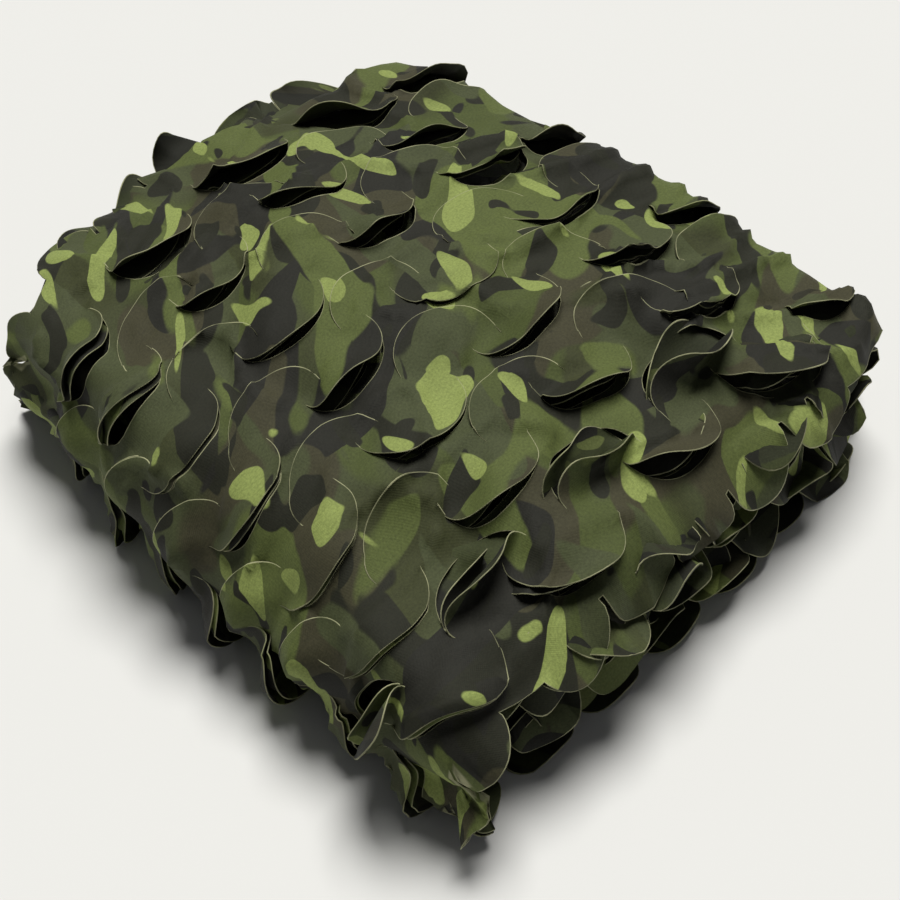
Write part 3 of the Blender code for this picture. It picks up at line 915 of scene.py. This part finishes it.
def wadPoints(uv):
    placed = foldPoints(uv[:, 0], uv[:, 1])
    normals, across = clothNormals(uv[:, 0], uv[:, 1])
    share = showing(uv)
    ramp = shown["before"]
    onWrap = betweenShare(uv[:, 0], wrapStart, topStart, ramp, ramp)
    # the layer beneath follows the top one's unevenness, so that the two stay apart
    under = (uv[:, 0] - pairSpan["start"]) / pairSpan["length"]
    onPair = (under > 0) & (under < 1)
    twin = uv.copy()
    twin[onPair, 0] = topStart + topSpan["length"] * (1 - under[onPair])
    uneven = crumpled(twin) * np.where(onPair, -1.0, 1.0)
    toBend = smoothShare(twin[:, 0], topEnd - crumple["bendReach"], topEnd - ramp)
    toBend *= smoothShare(-twin[:, 0], -(pairSpan["start"] + crumple["bendReachBeneath"]), -topEnd)
    uneven *= (crumple["hiddenShare"] + (1 - crumple["hiddenShare"]) * share
               + (crumple["wrapShare"] - 1) * onWrap + (crumple["bendShare"] - 1) * toBend)
    uneven += (puckered(uv) + shingled(uv)) * share
    sunk = innerTurn["sink"] * smoothShare(uv[:, 0], topStart - innerTurn["sinkFrom"],
                                           topStart + innerTurn["reachAbove"])
    uneven -= np.where(isInner, innerTurn["behind"] + sunk, 0.0)
    placed += ruffled(uv, placed, normals, across) + loosened(uv)
    placed += normals * uneven[:, None]
    turnedLeaves(uv, placed, normals, across)
    turnedEdgeLeaves(uv, placed, across)
    print("wrinkles settle")
    placed = settled(uv, placed, share)
    placed -= np.array([fold["middleX"], fold["middleY"], 0.0])
    placed[:, 2] = np.maximum(placed[:, 2], weft["thickness"] / 2 + rimTurn["floorClear"])
    return placed


def addObject(name, data):
    thing = bpy.data.objects.new(name, data)
    bpy.context.scene.collection.objects.link(thing)
    return thing


def makeCloth():
    mesh = bpy.data.meshes.new("nettingCloth")
    mesh.from_pydata(wadPoints(flatUv).tolist(), [], clothFaces.tolist())
    printed = flatUv + np.where(isInner[:, None], innerTurn["printShift"], (0.0, 0.0))
    layer = mesh.uv_layers.new(name="flatCloth")
    layer.data.foreach_set("uv", printed[clothFaces.reshape(-1)].astype(np.float32).reshape(-1))
    lip = mesh.attributes.new("cutEdge", "FLOAT", "POINT")
    lip.data.foreach_set("value", cutEdge.astype(np.float32))
    mesh.shade_smooth()
    cloth = addObject("nettingCloth", mesh)
    solid = cloth.modifiers.new("thickness", "SOLIDIFY")
    solid.thickness = weft["thickness"]
    solid.offset = 0.0
    # the offset side of the sheet takes the second material, whose print is darkened with painted shade
    solid.material_offset = 1
    return cloth


cloth = makeCloth()
print("cloth folded")

shot = dict(
    azimuth=-48.2, elevation=48.5, distance=1.2, target=(-0.0340, -0.0645, 0.05), lens=74.5,
    sensor=36.0,
)


def makeCamera():
    camera = addObject("camera", bpy.data.cameras.new("camera"))
    camera.data.lens = shot["lens"]
    camera.data.sensor_width = shot["sensor"]
    turn, rise = math.radians(shot["azimuth"]), math.radians(shot["elevation"])
    back = Vector((math.sin(turn) * math.cos(rise), -math.cos(turn) * math.cos(rise), math.sin(rise)))
    camera.location = Vector(shot["target"]) + back * shot["distance"]
    camera.rotation_mode = "QUATERNION"
    camera.rotation_quaternion = (-back).to_track_quat("-Z", "Y")
    bpy.context.scene.camera = camera


makeCamera()

studio = dict(
    floorSize=24.0, floor={"Base Color": (0.80, 0.80, 0.80, 1.0), "Roughness": 0.9},
    ambient={"Color": (0.97, 0.98, 1.0, 1.0), "Strength": 0.075},
    backdrop={"Color": (0.85, 0.855, 0.82, 1.0)},  # behind the floor, lights nothing
    sunPlace=(0.50, 0.34, 1.5), sunAim=(0, 0, 0.1), sunPower=3.45, sunAngle=0.55,
    sunColour=(1.0, 0.99, 0.94),
)


def setInputs(tree, node, inputs):
    for name, value in inputs.items():
        if isinstance(value, bpy.types.NodeSocket):
            tree.links.new(value, node.inputs[name])
        else:
            node.inputs[name].default_value = value
    return node


def addNode(tree, kind, inputs, **settings):
    node = tree.nodes.new(kind)
    for name, value in settings.items():
        setattr(node, name, value)
    return setInputs(tree, node, inputs)


def newMaterial(name):
    material = bpy.data.materials.new(name)
    material.use_nodes = True
    return material, material.node_tree, material.node_tree.nodes["Principled BSDF"]


def makeFloor():
    mesh = bpy.data.meshes.new("floor")
    reach = studio["floorSize"]
    corners = [(x * reach, y * reach, 0) for x, y in ((-1, -1), (1, -1), (1, 1), (-1, 1))]
    mesh.from_pydata(corners, [], [(0, 1, 2, 3)])
    material, tree, shader = newMaterial("floorPaint")
    setInputs(tree, shader, studio["floor"])
    mesh.materials.append(material)
    return addObject("floor", mesh)


def makeLight():
    scene = bpy.context.scene
    scene.view_settings.view_transform = "Standard"
    scene.world = bpy.data.worlds.new("studio")
    scene.world.use_nodes = True
    tree = scene.world.node_tree
    ambient = setInputs(tree, tree.nodes["Background"], studio["ambient"]).outputs[0]
    backdrop = addNode(tree, "ShaderNodeBackground", studio["backdrop"]).outputs[0]
    seen = addNode(tree, "ShaderNodeLightPath", {}).outputs["Is Camera Ray"]
    either = addNode(tree, "ShaderNodeMixShader", {0: seen, 1: ambient, 2: backdrop}).outputs[0]
    setInputs(tree, tree.nodes["World Output"], {"Surface": either})
    lamp = bpy.data.lights.new("overhead", "SUN")
    lamp.angle = studio["sunAngle"]
    lamp.energy = studio["sunPower"]
    lamp.color = studio["sunColour"]
    holder = addObject("overhead", lamp)
    holder.location = studio["sunPlace"]
    aim = Vector(studio["sunAim"]) - Vector(studio["sunPlace"])
    holder.rotation_euler = aim.to_track_quat("-Z", "Y").to_euler()


floor = makeFloor()
makeLight()
print("studio lit")

printLook = dict(
    grey=(72, 78, 50), green=(76, 85, 44), olive=(60, 64, 36), brown=(65, 63, 44),
    dark=(36, 37, 26), violet=(36, 36, 30), bright=(89, 99, 52), pale=(140, 153, 85),
    # under: a near black mixed over the print on the sheet's offset side, painted shade that stands in for
    # that side lying in shadow
    edge=(166, 166, 130), under=(22, 23, 17), underShadeShare=0.62, patchRoughness=0.45,
    wander={"Scale": 22.0, "Detail": 1.0},  # of the patches' outlines
    wanderReach=(0.014, 0.014, 0.0), grain={"Scale": 640.0, "Detail": 3.0, "Roughness": 0.7},
    fleck={"From Min": 0.3, "From Max": 0.7, "To Min": 0.76, "To Max": 1.24},
    grainDepth=0.00012, weaveDepth=0.00006, weavePitch=0.0011,
    edgeAt=0.45,  # where the pale cut edge begins in its band
    edgeSoft=0.12, edgeNoise={"Scale": 75.0},
    edgeWear={"From Min": 0.35, "From Max": 0.6, "To Min": 0.40},
    surface={"Roughness": 0.72, "Sheen Weight": 0.03, "Specular IOR Level": 0.25},
)

# patches of the print, from the lowest to the topmost: colour, size, share of the cloth, edge
patches = named("colour place turn stretch scale detail swirl edge soft", [
    ("olive", (0.3, 0.1, 0.0), 40, (1.2, 0.8, 1.0), 10.0, 1.0, 0.3, 0.50, 0.09),
    ("green", (1.7, 0.4, 0.0), 65, (1.3, 0.8, 1.0), 11.5, 0.8, 0.4, 0.52, 0.030),
    ("brown", (2.9, 1.3, 0.0), 20, (1.2, 0.8, 1.0), 11.0, 0.9, 0.4, 0.54, 0.012),
    ("dark", (4.1, 2.2, 0.0), 50, (1.4, 0.8, 1.0), 14.0, 1.0, 0.6, 0.575, 0.005),
    ("grey", (5.3, 0.7, 0.0), 80, (1.4, 0.8, 1.0), 15.0, 0.6, 0.4, 0.575, 0.008),
    ("violet", (6.1, 3.1, 0.0), 15, (1.3, 0.8, 1.0), 15.0, 1.1, 0.7, 0.60, 0.005),
    ("bright", (7.7, 1.9, 0.0), 60, (1.5, 0.8, 1.0), 16.0, 0.7, 0.4, 0.60, 0.010),
    ("dark", (8.4, 4.7, 0.0), 35, (1.2, 0.8, 1.0), 31.0, 0.4, 0.5, 0.655, 0.008),
    ("pale", (9.3, 5.3, 0.0), 40, (1.9, 0.75, 1.0), 25.0, 0.4, 0.4, 0.69, 0.005),
    ("pale", (3.7, 6.9, 0.0), 85, (1.3, 0.8, 1.0), 33.0, 0.0, 0.2, 0.72, 0.008),
])


def paint(name):
    # a colour as a screen shows it, in the linear values that a shader takes
    channels = [c / 255 for c in printLook[name]]
    return tuple(c / 12.92 if c <= 0.04045 else ((c + 0.055) / 1.055) ** 2.4 for c in channels) + (1.0,)


def addGroup(name, inputs, outputs):
    group = bpy.data.node_groups.new(name, "ShaderNodeTree")
    for way, sockets in (("INPUT", inputs), ("OUTPUT", outputs)):
        for label, kind in sockets:
            group.interface.new_socket(name=label, in_out=way, socket_type=kind)
    return group, group.nodes.new("NodeGroupInput").outputs, group.nodes.new("NodeGroupOutput")


def mathNode(tree, operation, first, second=None):
    inputs = {0: first} if second is None else {0: first, 1: second}
    return addNode(tree, "ShaderNodeMath", inputs, operation=operation).outputs[0]


def noiseNode(tree, vector, look):
    return addNode(tree, "ShaderNodeTexNoise", dict(look, Vector=vector)).outputs


def rangeNode(tree, value, look, **settings):
    return addNode(tree, "ShaderNodeMapRange", dict(look, Value=value), **settings).outputs["Result"]


def stepNode(tree, value, edge, softness):
    # 0 below the edge and 1 above it
    ends = {"From Min": edge - softness, "From Max": edge + softness}
    return rangeNode(tree, value, ends, interpolation_type="SMOOTHSTEP")


def mixNode(tree, share, first, second):
    # of colours, which are the node's inputs 6 and 7 and its output 2
    return addNode(tree, "ShaderNodeMix", {0: share, 6: first, 7: second}, data_type="RGBA").outputs[2]


def patchMask(tree, vector, patch):
    moved = addNode(tree, "ShaderNodeMapping", {
        "Vector": vector, "Location": patch["place"], "Rotation": (0.0, 0.0, math.radians(patch["turn"])),
        "Scale": patch["stretch"]}, vector_type="TEXTURE").outputs["Vector"]
    value = noiseNode(tree, moved, {"Scale": patch["scale"], "Detail": patch["detail"],
                                    "Roughness": printLook["patchRoughness"], "Distortion": patch["swirl"]})
    return stepNode(tree, value[0], patch["edge"], patch["soft"])


def buildPrint():
    # the generic camouflage of the cloth: overlapping patches, large under small
    tree, given, result = addGroup("camouflagePrint", [("Flat", "NodeSocketVector")],
                                   [("Color", "NodeSocketColor")])
    wander = noiseNode(tree, given["Flat"], printLook["wander"])["Color"]
    offset = addNode(tree, "ShaderNodeVectorMath", {0: wander, 1: printLook["wanderReach"], 2: given["Flat"]},
                     operation="MULTIPLY_ADD").outputs[0]
    colour = paint("grey")
    for patch in patches:
        colour = mixNode(tree, patchMask(tree, offset, patch), colour, paint(patch["colour"]))
    setInputs(tree, result, {"Color": colour})
    return tree


def buildWeave():
    # height of the plain weave and of the cloth's grain, in metres
    tree, given, result = addGroup("plainWeave", [
        ("Flat", "NodeSocketVector"), ("Pitch", "NodeSocketFloat"), ("Weave Depth", "NodeSocketFloat"),
        ("Grain Depth", "NodeSocketFloat")], [("Height", "NodeSocketFloat"), ("Fleck", "NodeSocketFloat")])
    parts = addNode(tree, "ShaderNodeSeparateXYZ", {"Vector": given["Flat"]}).outputs
    waves = []
    for axis in ("X", "Y"):
        turns = mathNode(tree, "DIVIDE", parts[axis], given["Pitch"])
        waves.append(mathNode(tree, "SINE", mathNode(tree, "MULTIPLY", turns, 2 * math.pi)))
    weave = mathNode(tree, "MULTIPLY", mathNode(tree, "MULTIPLY", *waves), given["Weave Depth"])
    grain = noiseNode(tree, given["Flat"], printLook["grain"])[0]
    height = mathNode(tree, "ADD", weave, mathNode(tree, "MULTIPLY", grain, given["Grain Depth"]))
    setInputs(tree, result, {"Height": height, "Fleck": grain})
    return tree


printGroup = buildPrint()
weaveGroup = buildWeave()


def makeClothMaterial(name, underside):
    material, tree, shader = newMaterial(name)
    flat = addNode(tree, "ShaderNodeUVMap", {}, uv_map="flatCloth").outputs["UV"]
    colour = addNode(tree, "ShaderNodeGroup", {"Flat": flat}, node_tree=printGroup).outputs["Color"]
    weave = addNode(tree, "ShaderNodeGroup", {
        "Flat": flat, "Pitch": printLook["weavePitch"], "Weave Depth": printLook["weaveDepth"],
        "Grain Depth": printLook["grainDepth"]}, node_tree=weaveGroup).outputs
    # painted shade: the print of this side is mixed towards near black
    if underside:
        colour = mixNode(tree, printLook["underShadeShare"], colour, paint("under"))
    fleck = rangeNode(tree, weave["Fleck"], printLook["fleck"])
    flecked = addNode(tree, "ShaderNodeVectorMath", {0: colour, "Scale": fleck}, operation="SCALE").outputs[0]
    lip = addNode(tree, "ShaderNodeAttribute", {}, attribute_name="cutEdge").outputs["Fac"]
    worn = rangeNode(tree, noiseNode(tree, flat, printLook["edgeNoise"])[0], printLook["edgeWear"])
    pale = mathNode(tree, "MULTIPLY", stepNode(tree, lip, printLook["edgeAt"], printLook["edgeSoft"]), worn)
    bump = addNode(tree, "ShaderNodeBump", {"Height": weave["Height"], "Strength": 1.0, "Distance": 1.0})
    setInputs(tree, shader, {"Base Color": mixNode(tree, pale, flecked, paint("edge")),
                             "Normal": bump.outputs["Normal"], **printLook["surface"]})
    return material


# the second material is the print darkened with painted shade
for name, underside in (("nettingPrint", False), ("nettingUndersidePaintedShade", True)):
    cloth.data.materials.append(makeClothMaterial(name, underside))
print("cloth printed")

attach(cloth, "root")
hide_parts("netting")

print("scene made")
